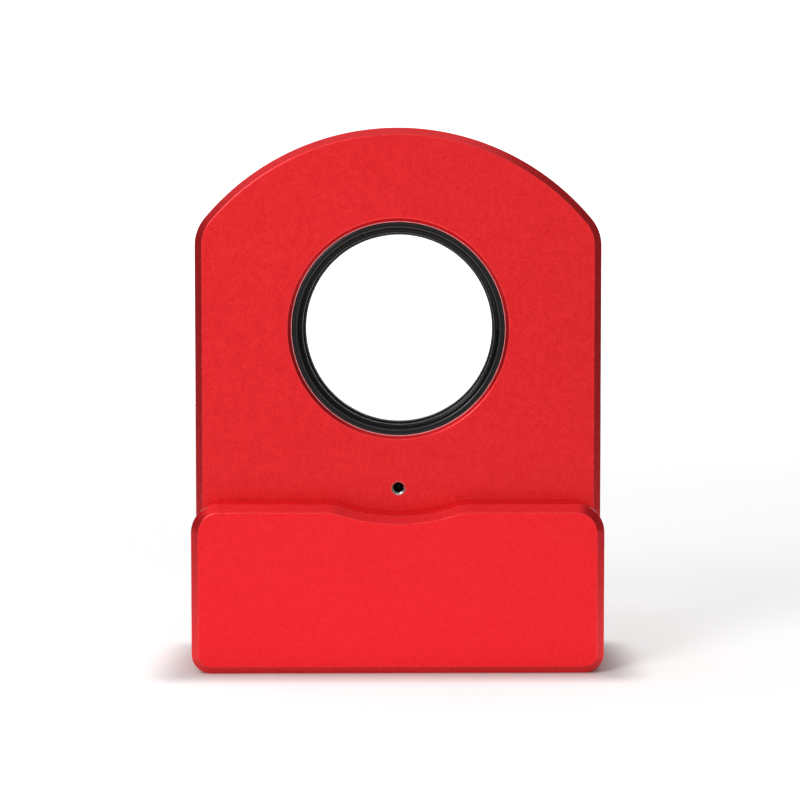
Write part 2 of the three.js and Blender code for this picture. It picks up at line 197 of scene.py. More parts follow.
class DrawerFinishes(bpy.types.PropertyGroup):
    """The colours of the finishes, as linear values."""

    housing_red: colour("Housing red", "Anodised red of the housing", (0.75, 0.005, 0.01))
    grip_red: colour("Grip red", "Anodised red of the grip", (0.85, 0.006, 0.014))
    # the lighter red of the rounded edges is a painted highlight, for the bright lines that they
    # catch
    edge_highlight_red: colour("Edge red", "Thinner anodising on rounded edges", (0.95, 0.045, 0.05))
    black: colour("Black", "Anodised black of the rings and the tray", (0.006, 0.006, 0.0065))
    # the rings' rounded edges are glossier, as polished edges are, and a lighter black, which is a
    # painted highlight
    edge_gloss_highlight_black: colour("Edge black", "Polished edges of the rings", (0.02, 0.02, 0.021))
    # the pale pink of each lip is a painted highlight on the edge of a port's mouth
    lip: colour("Lip", "Thin anodising on the edge of a port", (0.95, 0.38, 0.4))
    bare: colour("Bare aluminium", "Cut after anodising", (0.42, 0.4, 0.39))
    steel: colour("Stainless steel", "Of screws and pins", (0.46, 0.465, 0.47))
    oxide: colour("Black oxide", "Of the ring screws", (0.03, 0.03, 0.033))
    nickel: colour("Nickel", "Plating of the magnets", (0.66, 0.64, 0.59))
    flock: colour("Flock", "Of the light seal", (0.012, 0.012, 0.013))


def sizes():
    return bpy.context.scene.drawer_sizes


def finishes():
    return bpy.context.scene.drawer_finishes


# ---------------- bmesh shapes

def arc_steps(radius, angle):
    """Steps that keep an arc's facets short and its turns gentle."""
    by_length = radius * abs(angle) / FACET_LENGTH
    by_turn = abs(angle) / FACET_TURN
    return max(3, math.ceil(max(by_length, by_turn)))


def draw_line(bm, tip, x, z):
    """Runs the outline straight on to a point in the plane y = 0."""
    made = bmesh.ops.extrude_vert_indiv(bm, verts=[tip])
    end = made["verts"][0]
    end.co = (x, 0, z)
    return end


def draw_arc(bm, tip, x, z, angle):
    """Turns the outline about (x, z), anticlockwise as seen from the front."""
    centre = Vector((x, 0, z))
    radius = (tip.co - centre).length
    steps = arc_steps(radius, angle)
    made = bmesh.ops.spin(
        bm, geom=[tip], cent=centre, axis=TOWARDS_FRONT, angle=angle, steps=steps
    )
    return next(part for part in made["geom_last"] if isinstance(part, bmesh.types.BMVert))


def push_out(bm, y0, y1):
    """Closes the outline and pushes it out from y0 to y1."""
    bmesh.ops.remove_doubles(bm, verts=bm.verts[:], dist=MERGE)
    bmesh.ops.contextual_create(bm, geom=bm.edges[:])
    bmesh.ops.translate(bm, verts=bm.verts[:], vec=(0, y0, 0))
    made = bmesh.ops.extrude_face_region(bm, geom=bm.faces[:])
    far = [part for part in made["geom"] if isinstance(part, bmesh.types.BMVert)]
    bmesh.ops.translate(bm, verts=far, vec=(0, y1 - y0, 0))
    bmesh.ops.recalc_face_normals(bm, faces=bm.faces[:])


def bevel(bm, edges, width, segments):
    return bmesh.ops.bevel(
        bm, geom=edges, offset=width, offset_type="OFFSET", affect="EDGES", segments=segments,
        profile=0.5, material=-1, clamp_overlap=False,
    )


def rim(bm, y):
    """The edges that lie on the plane at y."""
    return [e for e in bm.edges if all(abs(v.co.y - y) < NUDGE for v in e.verts)]


def chamfer_rims(bm, y0, y1, width):
    """Chamfers the edges round both ends of a shape that was pushed out."""
    bevel(bm, rim(bm, y0) + rim(bm, y1), width, 1)


def soften(bm, width, segments=3, keep=None):
    """Rounds every sharp outer edge, apart from those that `keep` picks."""
    edges = [
        e
        for e in bm.edges
        if len(e.link_faces) == 2
        and e.is_convex
        and e.calc_face_angle(0) > SHARP
        and not (keep and keep(e))
    ]
    made = bevel(bm, edges, width, segments)
    # the rounded faces take the edge material, which paints a highlight on red and black pieces
    for face in made["faces"]:
        face.material_index = EDGE


def turned(profile, closed=False, steps=None, axis=ALONG_Y, centre=ORIGIN):
    """A bmesh of a [radius, distance] profile turned about an axis along Y or Z."""
    bm = bmesh.new()
    along_y = axis == ALONG_Y
    points = [Vector((r, d, 0)) if along_y else Vector((r, 0, d)) for r, d in profile]
    tip = first = bm.verts.new(points[0])
    for point in points[1:]:
        made = bmesh.ops.extrude_vert_indiv(bm, verts=[tip])
        tip = made["verts"][0]
        tip.co = point
    if closed:
        bm.edges.new((tip, first))
    bmesh.ops.spin(
        bm, geom=bm.verts[:] + bm.edges[:], cent=ORIGIN, axis=axis, angle=math.tau,
        steps=steps or sizes().facets, use_merge=True,
    )
    bmesh.ops.remove_doubles(bm, verts=bm.verts[:], dist=MERGE)
    bmesh.ops.recalc_face_normals(bm, faces=bm.faces[:])
    bmesh.ops.translate(bm, verts=bm.verts[:], vec=centre)
    return bm


def rod(radius, start, end):
    """The profile of a plain cylinder."""
    return [(0, start), (radius, start), (radius, end), (0, end)]


def helix(root, crest, pitch, start, turns, centre, steps):
    """A thread's ridge, standing inwards from the wall of a bore along Y."""
    bm = bmesh.new()
    base = 0.46 * pitch  # half of the ridge's width at the wall
    tip = 0.08 * pitch  # and at its crest
    outline = ((root, -base), (crest, -tip), (crest, tip), (root, base))
    profile = [bm.verts.new((r, start + d, 0)) for r, d in outline]
    bmesh.ops.contextual_create(bm, geom=profile)
    advance = ALONG_Y * (pitch / steps)
    bmesh.ops.spin(
        bm, geom=bm.faces[:], cent=ORIGIN, axis=ALONG_Y, dvec=advance,
        angle=math.tau * turns, steps=int(steps * turns),
    )
    bmesh.ops.remove_doubles(bm, verts=bm.verts[:], dist=FINE_MERGE)
    bmesh.ops.recalc_face_normals(bm, faces=bm.faces[:])
    bmesh.ops.translate(bm, verts=bm.verts[:], vec=centre)
    return bm


def block(low, high):
    """A box from its lowest to its highest corner."""
    bm = bmesh.new()
    bmesh.ops.create_cube(bm, size=1)
    size = Vector(high) - Vector(low)
    bmesh.ops.scale(bm, verts=bm.verts[:], vec=size)
    bmesh.ops.translate(bm, verts=bm.verts[:], vec=(Vector(low) + Vector(high)) / 2)
    return bm


# ---------------- pieces

def make_object(name, bm):
    mesh = bpy.data.meshes.new(name)
    bm.to_mesh(mesh)
    bm.free()
    piece = bpy.data.objects.new(name, mesh)
    bpy.context.scene.collection.objects.link(piece)
    return piece


def carve(bm, cutters):
    """Cuts every cutter out of the shape and returns what is left as a new bmesh."""
    piece = make_object("blank", bm)
    tools = [make_object("cutter", cutter) for cutter in cutters]
    for tool in tools:
        cut = piece.modifiers.new("cut", "BOOLEAN")
        cut.operation = "DIFFERENCE"
        cut.solver = "EXACT"
        cut.object = tool
    graph = bpy.context.evaluated_depsgraph_get()
    result = bmesh.new()
    result.from_mesh(piece.evaluated_get(graph).to_mesh())
    for used in [piece, *tools]:
        mesh = used.data
        bpy.data.objects.remove(used)
        bpy.data.meshes.remove(mesh)
    bmesh.ops.remove_doubles(result, verts=result.verts[:], dist=FINE_MERGE)
    bmesh.ops.dissolve_degenerate(result, edges=result.edges[:], dist=FINE_MERGE)
    return result


def finish_piece(name, bm, material, body, slot, *nodes, edges=None):
    """Makes the bmesh a finished piece that rides on a body and stands for CAD nodes."""
    piece = make_object(name, bm)
    piece.data.materials.append(material)
    piece.data.materials.append(edges or material)
    piece.data.shade_smooth()
    piece.data.set_sharp_from_angle(angle=SMOOTH)
    weighted = piece.modifiers.new("even shading", "WEIGHTED_NORMAL")
    weighted.keep_sharp = True
    weighted.weight = 100
    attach(piece, body)
    if nodes:
        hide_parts(*nodes)
    return piece


# ---------------- materials

def maths(tree, operation, *values):
    """Adds a Math node, and returns its output."""
    node = tree.nodes.new("ShaderNodeMath")
    node.operation = operation
    for value, socket in zip(values, node.inputs):
        if isinstance(value, (int, float)):
            socket.default_value = value
        else:
            tree.links.new(value, socket)
    return node.outputs[0]


def map_range(tree, source, low, high, to_low, to_high, kind="LINEAR"):
    """Adds a map from one range of values to another, and returns its output."""
    node = tree.nodes.new("ShaderNodeMapRange")
    node.interpolation_type = kind
    tree.links.new(source, node.inputs["Value"])
    node.inputs["From Min"].default_value = low
    node.inputs["From Max"].default_value = high
    node.inputs["To Min"].default_value = to_low
    node.inputs["To Max"].default_value = to_high
    return node.outputs["Result"]


class Nodes:
    """Writes the node tree of one material."""

    def __init__(self, name):
        self.material = bpy.data.materials.get(name) or bpy.data.materials.new(name)
        self.material.use_nodes = True
        self.tree = self.material.node_tree
        self.tree.nodes.clear()
        self.shader = self.add("ShaderNodeBsdfPrincipled")
        output = self.add("ShaderNodeOutputMaterial")
        self.join(self.shader.outputs["BSDF"], output.inputs["Surface"])
        self.place = self.add("ShaderNodeTexCoord").outputs["Object"]

    def add(self, kind, **values):
        node = self.tree.nodes.new(kind)
        for key, value in values.items():
            setattr(node, key, value)
        return node

    def join(self, source, target):
        self.tree.links.new(source, target)

    def set(self, **values):
        """Sets the shader's own sockets."""
        for key, value in values.items():
            self.shader.inputs[key.replace("_", " ")].default_value = value

    def mapped(self, location=(0, 0, 0), scale=(1, 1, 1)):
        node = self.add("ShaderNodeMapping")
        node.inputs["Location"].default_value = location
        node.inputs["Scale"].default_value = scale
        self.join(self.place, node.inputs["Vector"])
        return node.outputs["Vector"]

    def noise(self, scale, detail=2, roughness=0.5, vector=None):
        node = self.add("ShaderNodeTexNoise")
        node.inputs["Scale"].default_value = scale
        node.inputs["Detail"].default_value = detail
        node.inputs["Roughness"].default_value = roughness
        self.join(vector or self.place, node.inputs["Vector"])
        return node.outputs["Fac"]

    def spread(self, source, *ends):
        return map_range(self.tree, source, *ends)

    def mix(self, factor, first, second):
        """Mixes two linear colours."""
        node = self.add("ShaderNodeMix", data_type="RGBA")
        node.inputs["A"].default_value = (*first, 1)
        node.inputs["B"].default_value = (*second, 1)
        self.join(factor, node.inputs["Factor"])
        return node.outputs["Result"]

    def bump(self, source, strength, distance, previous=None):
        """Adds a Bump node, on top of the previous one."""
        node = self.add("ShaderNodeBump")
        node.inputs["Strength"].default_value = strength
        node.inputs["Distance"].default_value = distance
        self.join(source, node.inputs["Height"])
        if previous:
            self.join(previous, node.inputs["Normal"])
        self.join(node.outputs["Normal"], self.shader.inputs["Normal"])
        return node.outputs["Normal"]


def shade(rgb, factor):
    """The colour made darker or lighter."""
    return tuple(channel * factor for channel in rgb)


def blasted_anodised(name, rgb, roughness, grain_and_painted_sparkle=1.0):
    """Bead-blasted aluminium with a dyed, satin anodised skin.

    The beads leave specks of about a third of a millimetre; the little white light that they catch is
    painted into the base colour.
    """
    nodes = Nodes(name)
    nodes.set(Metallic=0.9, Coat_Weight=0.7, Coat_Roughness=0.33, Coat_IOR=1.3)
    beads = nodes.noise(2900, detail=2.5, roughness=0.7)
    mottle = nodes.noise(700, detail=3, roughness=0.6)
    cloud = nodes.noise(24, detail=2)
    fine = maths(nodes.tree, "MULTIPLY_ADD", mottle, 0.45, beads)
    patchy = maths(nodes.tree, "MULTIPLY_ADD", cloud, 0.12, fine)
    tint = nodes.spread(patchy, 0.58, 0.99, 0, 1)
    red, green, blue = rgb
    # the specks vary in tone at random, and the lighter ones also get a little white: that white is a
    # painted highlight
    painted_glint = 0.012 * grain_and_painted_sparkle
    dark = (red * (1 - 0.09 * grain_and_painted_sparkle), green * 0.5, blue * 0.6)
    light = (red * (1 + 0.09 * grain_and_painted_sparkle), green + painted_glint, blue + painted_glint)
    nodes.join(nodes.mix(tint, dark, light), nodes.shader.inputs["Base Color"])
    satin = nodes.spread(mottle, 0.3, 0.7, roughness - 0.04, roughness + 0.04)
    nodes.join(satin, nodes.shader.inputs["Roughness"])
    dents = nodes.bump(beads, 0.35 * grain_and_painted_sparkle, 0.02 * MM)
    nodes.bump(mottle, 0.15 * grain_and_painted_sparkle, 0.05 * MM, dents)
    return nodes.material


def turned_metal(name, rgb, roughness, centre, metallic=1.0, lines=0.12, gloss=0.5):
    """Metal turned on a lathe about an axis along Y, with fine rings in its finish."""
    nodes = Nodes(name)
    nodes.set(Metallic=metallic, Specular_IOR_Level=gloss)
    vector = nodes.mapped(location=(-centre.x, 0, -centre.z))
    rings = nodes.add(
        "ShaderNodeTexWave", wave_type="RINGS", rings_direction="Y", wave_profile="SAW"
    )
    rings.inputs["Scale"].default_value = 1400
    rings.inputs["Distortion"].default_value = 1.5
    rings.inputs["Detail"].default_value = 2
    nodes.join(vector, rings.inputs["Vector"])
    stain = nodes.noise(700, detail=2)
    skin = nodes.mix(nodes.spread(stain, 0.3, 0.7, 0, 1), shade(rgb, 0.88), shade(rgb, 1.1))
    nodes.join(skin, nodes.shader.inputs["Base Color"])
    satin = nodes.spread(stain, 0.3, 0.7, roughness - 0.04, roughness + 0.05)
    nodes.join(satin, nodes.shader.inputs["Roughness"])
    nodes.bump(rings.outputs["Fac"], lines, 0.01 * MM)
    return nodes.material


def handled_metal(name, rgb, roughness, metallic=1.0):
    """The metal of screws, pins and magnets, with faint stains and scratches along Y."""
    nodes = Nodes(name)
    nodes.set(Metallic=metallic)
    stain = nodes.noise(900, detail=3)
    scratch = nodes.noise(2600, detail=4, vector=nodes.mapped(scale=(1, 0.2, 1)))
    skin = nodes.mix(nodes.spread(stain, 0.3, 0.7, 0, 1), shade(rgb, 0.86), shade(rgb, 1.08))
    nodes.join(skin, nodes.shader.inputs["Base Color"])
    satin = nodes.spread(scratch, 0.3, 0.7, roughness - 0.05, roughness + 0.08)
    nodes.join(satin, nodes.shader.inputs["Roughness"])
    nodes.bump(scratch, 0.08, 0.01 * MM)
    return nodes.material


def flocked(name, rgb):
    """Short black flock that swallows stray light."""
    nodes = Nodes(name)
    nodes.set(Metallic=0, Sheen_Weight=0.25, Sheen_Roughness=0.6)
    nap = nodes.noise(5200, detail=4, roughness=0.8)
    nodes.join(nodes.mix(nap, shade(rgb, 0.5), shade(rgb, 2.2)), nodes.shader.inputs["Base Color"])
    nodes.join(nodes.spread(nap, 0.3, 0.7, 0.88, 1), nodes.shader.inputs["Roughness"])
    nodes.bump(nap, 0.9, 0.08 * MM)
    return nodes.material


def housing_red():
    return blasted_anodised("housing red", finishes().housing_red, 0.4)


def grip_red():
    return blasted_anodised("grip red", finishes().grip_red, 0.4, grain_and_painted_sparkle=0.6)


# glossier than the rings' faces, and lighter: the lighter black is a painted highlight
def edge_gloss_highlight_black():
    return turned_metal("edge gloss highlight black", finishes().edge_gloss_highlight_black, 0.24, BORE, metallic=0, gloss=0.4)


# painted highlight: the rounded edges are a lighter red than the faces
def edge_highlight_red():
    return blasted_anodised("edge highlight red", finishes().edge_highlight_red, 0.27, grain_and_painted_sparkle=0.02)


def turned_black():
    return turned_metal("turned black", finishes().black, 0.34, BORE, metallic=0, gloss=0.16)


def milled_black():
    return blasted_anodised("milled black", finishes().black, 0.42, grain_and_painted_sparkle=0.3)


def stainless():
    return handled_metal("stainless steel", finishes().steel, 0.28)


# ---------------- outlines

def housing_blank():
    """The uncut housing: straight sides, a round top and two chamfered rims."""
    s = sizes()
    bm = bmesh.new()
    arch_z = HOUSING_HIGH.z - s.arch_radius
    corner_x = HALF_WIDTH - s.arch_corner
    reach = s.arch_radius - s.arch_corner
    corner_z = arch_z + math.sqrt(reach**2 - corner_x**2)
    meet = math.atan2(corner_z - arch_z, corner_x)
    tip = bm.verts.new((-HALF_WIDTH, 0, HOUSING_LOW.z))
    tip = draw_line(bm, tip, HALF_WIDTH, HOUSING_LOW.z)
    tip = draw_line(bm, tip, HALF_WIDTH, corner_z)
    tip = draw_arc(bm, tip, corner_x, corner_z, meet)
    tip = draw_arc(bm, tip, 0, arch_z, math.pi - 2 * meet)
    tip = draw_arc(bm, tip, -corner_x, corner_z, meet)
    draw_line(bm, tip, -HALF_WIDTH, HOUSING_LOW.z)
    push_out(bm, HOUSING_LOW.y, HOUSING_HIGH.y)
    chamfer_rims(bm, HOUSING_LOW.y, HOUSING_HIGH.y, s.housing_chamfer)
    return bm


def grip_blank():
    """The uncut grip: a rounded block whose top edge dips round the optical axis."""
    s = sizes()
    bm = bmesh.new()
    foot, top = GRIP_LOW.z, GRIP_HIGH.z
    low_x, low_z = HALF_WIDTH - s.grip_bottom_corner, foot + s.grip_bottom_corner
    high_x, high_z = HALF_WIDTH - s.grip_top_corner, top - s.grip_top_corner
    blend_z = top - s.notch_blend
    blend_x = math.sqrt((s.notch_radius + s.notch_blend) ** 2 - (BORE.z - blend_z) ** 2)
    dip = math.atan2(BORE.z - blend_z, blend_x)
    quarter = math.pi / 2
    tip = bm.verts.new((-low_x, 0, foot))
    tip = draw_line(bm, tip, low_x, foot)
    tip = draw_arc(bm, tip, low_x, low_z, quarter)
    tip = draw_line(bm, tip, HALF_WIDTH, high_z)
    tip = draw_arc(bm, tip, high_x, high_z, quarter)
    tip = draw_line(bm, tip, blend_x, top)
    tip = draw_arc(bm, tip, blend_x, blend_z, quarter - dip)
    tip = draw_arc(bm, tip, 0, BORE.z, 2 * dip - math.pi)
    tip = draw_arc(bm, tip, -blend_x, blend_z, quarter - dip)
    tip = draw_line(bm, tip, -high_x, top)
    tip = draw_arc(bm, tip, -high_x, high_z, quarter)
    tip = draw_line(bm, tip, -HALF_WIDTH, low_z)
    draw_arc(bm, tip, -low_x, low_z, quarter)
    push_out(bm, GRIP_LOW.y, GRIP_HIGH.y)
    chamfer_rims(bm, GRIP_LOW.y, GRIP_HIGH.y, s.grip_chamfer)
    return bm


def tongue(half_width, low_z, y0, y1):
    """A slab with a round end about the optical axis."""
    bm = bmesh.new()
    tip = bm.verts.new((-half_width, 0, low_z))
    tip = draw_line(bm, tip, half_width, low_z)
    tip = draw_line(bm, tip, half_width, BORE.z)
    tip = draw_arc(bm, tip, 0, BORE.z, math.pi)
    draw_line(bm, tip, -half_width, low_z)
    push_out(bm, y0, y1)
    return bm


# ---------------- cutters

def along_bore(profile, closed=False):
    """A profile turned about the optical axis."""
    return turned(profile, closed=closed, centre=BORE_AXIS)


def port_opening(face, inner, way):
    """The countersunk hole for a port ring; `way` is 1 where the port faces -Y."""
    s = sizes()
    hole = s.ring_radius + s.fit_gap
    mouth_depth = s.port_mouth - hole - s.fit_gap
    shelf = inner - way * (s.flange_thickness + s.fit_gap)
    flange = FLANGE_RADIUS + s.fit_gap
    return along_bore(
        [
            (0, face - way * PAST),
            (s.port_mouth + PAST, face - way * PAST),
            (hole + s.fit_gap, face + way * mouth_depth),
            (hole, face + way * (mouth_depth + s.fit_gap)),
            (hole, shelf),
            (flange, shelf),
            (flange, inner + way * PAST),
            (0, inner + way * PAST),
        ]
    )


def magnet_pocket(node, low_z, high_z):
    profile = rod(radius_of(node) + sizes().fit_gap, low_z, high_z)
    return turned(profile, axis=ALONG_Z, steps=DISC_FACETS, centre=axis_of(node, ALONG_Z))


def screw_ends(node):
    """A countersunk screw's way in along Y, and the y of its head and of its tip."""
    low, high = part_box(node)
    if node in REAR_RING_SCREWS:
        return 1, low.y, high.y
    return -1, high.y, low.y


def countersunk_hole(node):
    """The hole of a countersunk screw, as wide as the screw and its gap."""
    gap = sizes().fit_gap
    way, face, end = screw_ends(node)
    radius = radius_of(node) + gap
    shank = radius * COUNTERSUNK_HOLE
    profile = [
        (0, face - way * PAST),
        (radius, face - way * PAST),
        (radius, face),
        (shank, face + way * (radius - shank)),
        (shank, end + way * gap),
        (0, end + way * gap),
    ]
    return turned(profile, steps=PIN_FACETS, centre=axis_of(node, ALONG_Y))


# ---------------- stage

PALE = 0.8  # how much light the floor and the backdrop give back
FLOOR_GLOW = 0.45
FLOOR_HALF_WIDTH = 0.34
FLOOR_FRONT = -0.4
FLOOR_BACK = 1.0
CONTACT_REACH = 0.012  # the floor's glow is full this far from the grip; nearer, its fade paints a shadow round the grip's foot
POOL_WIDENING = 0.23  # how much the glow widens for each metre behind
POOL_SIDE = (0.085, 0.2)  # it fades out to the sides between these, as painted shade
POOL_RISE = (0.05, 0.9)  # it grows towards the back between these, as a painted pool of light
POOL_GAIN = 1.6
WORLD_STRENGTH = 0.22
LIT_CENTRE = (0, 0, 0.06)
LAMPS = (
    ("front softbox", (0.02, -1.1, 0.3), (1.5, 1.1), 4),
    ("top softbox", (-0.15, 0, 0.8), (1.1, 1.1), 2.7),
    ("key", (-0.45, -0.6, 0.55), (0.3, 0.3), 3),
)
CAMERA_SENSOR = 36  # in millimetres, as the lens is
CAMERA_LENS = 83.4
CAMERA_SHIFT = (-0.0605, -0.0086)
CAMERA_PLACE = (4.18 * MM, -402.0 * MM, 78.64 * MM)
CAMERA_TURN = (math.pi / 2 - 0.0501, -0.001, -0.0164)


# ---------------- operators

class DRAWER_OT_housing(bpy.types.Operator):
    """Build the front housing with its port, tray channel and lock screw hole"""

    bl_idname = "drawer.housing"
    bl_label = "Front Housing"

    def execute(self, context):
        s = context.scene.drawer_sizes
        channel_front = BODY_LOW.y + s.front_wall
        channel_half = TRAY_HIGH.x + s.slide_gap
        bm = carve(
            housing_blank(),
            [
                block(
                    (-2 * HALF_WIDTH, BODY_HIGH.y, -HALF_WIDTH),
                    (2 * HALF_WIDTH, 2 * HOUSING_HIGH.y, 2 * HOUSING_HIGH.z),
                ),
                tongue(channel_half, BODY_LOW.z - PAST, channel_front, BODY_HIGH.y + PAST),
                port_opening(BODY_LOW.y, channel_front, 1),
                self.lock_hole(s, channel_front),
                *[
                    magnet_pocket(node, BODY_LOW.z - PAST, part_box(node)[1].z + s.fit_gap)
                    for node in ("housing_magnet_left", "housing_magnet_right")
                ],
            ],
        )
        soften(bm, s.edge_round, keep=self.in_lock_hole)
        finish_piece(
            "housing_body", bm, housing_red(), "housing", "red_anodised", "front_housing",
            edges=edge_highlight_red(),
        )
        self.lock_thread(s, channel_front)
        return {"FINISHED"}

    def in_lock_hole(self, edge):
        away = edge.verts[0].co - LOCK_AXIS
        return math.hypot(away.x, away.z) < 2 * sizes().lock_major

    def lock_hole(self, s, channel_front):
        profile = rod(s.lock_mouth, BODY_LOW.y - PAST, channel_front + PAST)
        return turned(profile, steps=DISC_FACETS, centre=LOCK_AXIS)

    def lock_thread(self, s, channel_front):
        """The bare countersink and thread that were cut after the anodising."""
        skin = 0.03 * MM  # how far the sleeve lies in the wall and below its face
        slope = math.radians(34)
        run_in = 0.2 * MM  # from the countersink to the thread's roots
        face = BODY_LOW.y + skin
        back = channel_front - 0.1 * MM
        outer = s.lock_mouth + skin
        sink = s.lock_minor + 0.06 * MM
        sink_end = face + (s.lock_mouth - sink) * math.tan(slope)
        profile = [
            (outer, face),
            (s.lock_mouth - 0.04 * MM, face),
            (sink, sink_end),
            (s.lock_major, sink_end + run_in),
            (s.lock_major, back),
            (outer, back),
        ]
        bare = turned_metal("bare aluminium", finishes().bare, 0.2, LOCK_AXIS)
        sleeve = turned(profile, closed=True, steps=DISC_FACETS, centre=LOCK_AXIS)
        finish_piece("lock_screw_hole", sleeve, bare, "housing", "stainless")
        start = sink_end + 0.3 * MM
        turns = (channel_front - start) / s.lock_pitch - 0.8
        ridge = helix(
            s.lock_major + 0.02 * MM, s.lock_minor, s.lock_pitch, start, turns, LOCK_AXIS, DISC_FACETS
        )
        finish_piece("lock_screw_thread", ridge, bare, "housing", "stainless")


class DRAWER_OT_cover(bpy.types.Operator):
    """Build the rear cover with its port and countersunk screw holes"""

    bl_idname = "drawer.cover"
    bl_label = "Rear Cover"

    def execute(self, context):
        s = context.scene.drawer_sizes
        bm = carve(
            housing_blank(),
            [
                block(
                    (-2 * HALF_WIDTH, 2 * HOUSING_LOW.y, -HALF_WIDTH),
                    (2 * HALF_WIDTH, COVER_LOW.y, 2 * HOUSING_HIGH.z),
                ),
                port_opening(COVER_HIGH.y, BODY_HIGH.y, -1),
                *[countersunk_hole(node) for node in COVER_SCREWS],
            ],
        )
        soften(bm, s.edge_round)
        finish_piece(
            "cover_plate", bm, housing_red(), "housing", "red_anodised", "rear_cover",
            edges=edge_highlight_red(),
        )
        return {"FINISHED"}


class DRAWER_OT_ports(bpy.types.Operator):
    """Build both port rings with their threads and their lips of painted highlight"""

    bl_idname = "drawer.ports"
    bl_label = "Port Rings"

    def execute(self, context):
        s = context.scene.drawer_sizes
        front_inner = BODY_LOW.y + s.front_wall
        self.port(s, "front", BODY_LOW.y, front_inner, 1, FRONT_RING_SCREWS)
        self.port(s, "rear", COVER_HIGH.y, BODY_HIGH.y, -1, REAR_RING_SCREWS)
        return {"FINISHED"}

    def port(self, s, side, face, inner, way, screws):
        """One ring, its thread and its lip; `way` is 1 where the port faces -Y."""
        outer = face + way * s.ring_recess
        shelf = inner - way * s.flange_thickness
        lead = s.port_lead_in
        land = 0.7 * MM  # plain band at the inner end of the thread
        run_out = 0.9 * MM  # from the inner end to the thread's roots
        profile = [
            (s.port_major, outer + way * (s.port_minor + lead - s.port_major)),
            (s.port_minor + lead, outer),
            (s.ring_radius, outer),
            (s.ring_radius, shelf),
            (FLANGE_RADIUS, shelf),
            (FLANGE_RADIUS, inner),
            (s.port_minor, inner),
            (s.port_minor, inner - way * land),
            (s.port_major, inner - way * run_out),
        ]
        bm = carve(along_bore(profile, closed=True), [countersunk_hole(n) for n in screws])
        soften(bm, s.fine_round, segments=2)
        finish_piece(
            f"{side}_port_ring", bm, turned_black(), "housing", "black_anodised",
            f"{side}_thread_ring", edges=edge_gloss_highlight_black(),
        )
        plain = 1.1 * MM  # length without a ridge, both ends together
        start = outer + 0.55 * MM if way > 0 else inner + 1.0 * MM
        turns = (abs(inner - outer) - plain) / s.port_pitch - 0.6
        root = s.port_major + THREAD_OVERLAP
        ridge = helix(root, s.port_minor, s.port_pitch, start, turns, BORE_AXIS, THREAD_FACETS)
        finish_piece(f"{side}_port_thread", ridge, turned_black(), "housing", "black_anodised")
        self.lip(s, side, face, way)

    def lip(self, s, side, face, way):
        """A thin pale ring at the foot of the countersunk mouth, a painted highlight of the light
        that its edge catches.
        """
        hole = s.ring_radius + s.fit_gap
        depth = s.port_mouth - hole - s.fit_gap
        thin = 0.03 * MM
        profile = [
            (hole + s.fit_gap + thin, face + way * (depth - thin)),
            (hole + s.fit_gap - 2 * thin, face + way * (depth - thin)),
            (hole - thin, face + way * (depth + s.fit_gap - thin)),
            (hole - thin, face + way * (depth + s.fit_gap + 3 * thin)),
            (hole + s.fit_gap + thin, face + way * (depth + s.fit_gap + 3 * thin)),
        ]
        # painted highlight: the lip is pale pink all round the mouth
        lip = turned_metal("port lip highlight", finishes().lip, 0.3, BORE, lines=0.02)
        bm = along_bore(profile, closed=True)
        finish_piece(f"{side}_port_lip", bm, lip, "housing", "red_anodised")


class DRAWER_OT_screws(bpy.types.Operator):
    """Build every screw, each with a hexagon socket"""

    bl_idname = "drawer.screws"
    bl_label = "Screws"

    def execute(self, context):
        oxide = handled_metal("black oxide", finishes().oxide, 0.36, metallic=0.7)
        for node in COVER_SCREWS:
            self.countersunk(node, stainless(), "stainless")
        for node in FRONT_RING_SCREWS + REAR_RING_SCREWS:
            self.countersunk(node, oxide, "black_steel")
        for side in SIDES:
            self.cap_screw(f"tray_screw_{side}")
        return {"FINISHED"}

    def socketed(self, bm, radius, place, axis):
        """Cuts a hexagon socket into the head at `place` and rounds the head's edges."""
        across = radius * sizes().socket_share
        socket = bmesh.new()
        bmesh.ops.create_cone(
            socket, cap_ends=True, segments=6, radius1=across, radius2=across, depth=radius
        )
        if axis == ALONG_Y:
            turn = Matrix.Rotation(math.pi / 2, 3, "X")
            bmesh.ops.rotate(socket, verts=socket.verts[:], matrix=turn)
        bmesh.ops.translate(socket, verts=socket.verts[:], vec=place)
        bm = carve(bm, [socket])
        soften(bm, 0.06 * MM, segments=2)
        return bm

    def countersunk(self, node, material, slot):
        way, face, end = screw_ends(node)
        radius = radius_of(node)
        shank = radius * COUNTERSUNK_SHANK
        rim_height = 0.12 * MM
        profile = [
            (0, face),
            (radius, face),
            (radius, face + way * rim_height),
            (shank, face + way * (radius - shank + rim_height)),
            (shank, end - way * shank * SCREW_TIP),
            (shank * TIP_END, end),
            (0, end),
        ]
        axis = axis_of(node, ALONG_Y)
        bm = turned(profile, steps=PIN_FACETS, centre=axis)
        bm = self.socketed(bm, radius, Vector((axis.x, face, axis.z)), ALONG_Y)
        finish_piece(f"{node}_detail", bm, material, "housing", slot, node)

    def cap_screw(self, node):
        low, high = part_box(node)
        radius = radius_of(node)
        shank = radius * CAP_SHANK
        profile = [
            (0, low.z),
            (radius, low.z),
            (radius, low.z + CAP_HEAD),
            (shank, low.z + CAP_HEAD),
            (shank, high.z - shank * SCREW_TIP),
            (shank * TIP_END, high.z),
            (0, high.z),
        ]
        axis = axis_of(node, ALONG_Z)
        bm = turned(profile, steps=CAP_FACETS, axis=ALONG_Z, centre=axis)
        bm = self.socketed(bm, radius, Vector((axis.x, axis.y, low.z)), ALONG_Z)
        finish_piece(f"{node}_detail", bm, stainless(), "drawer", "stainless", node)


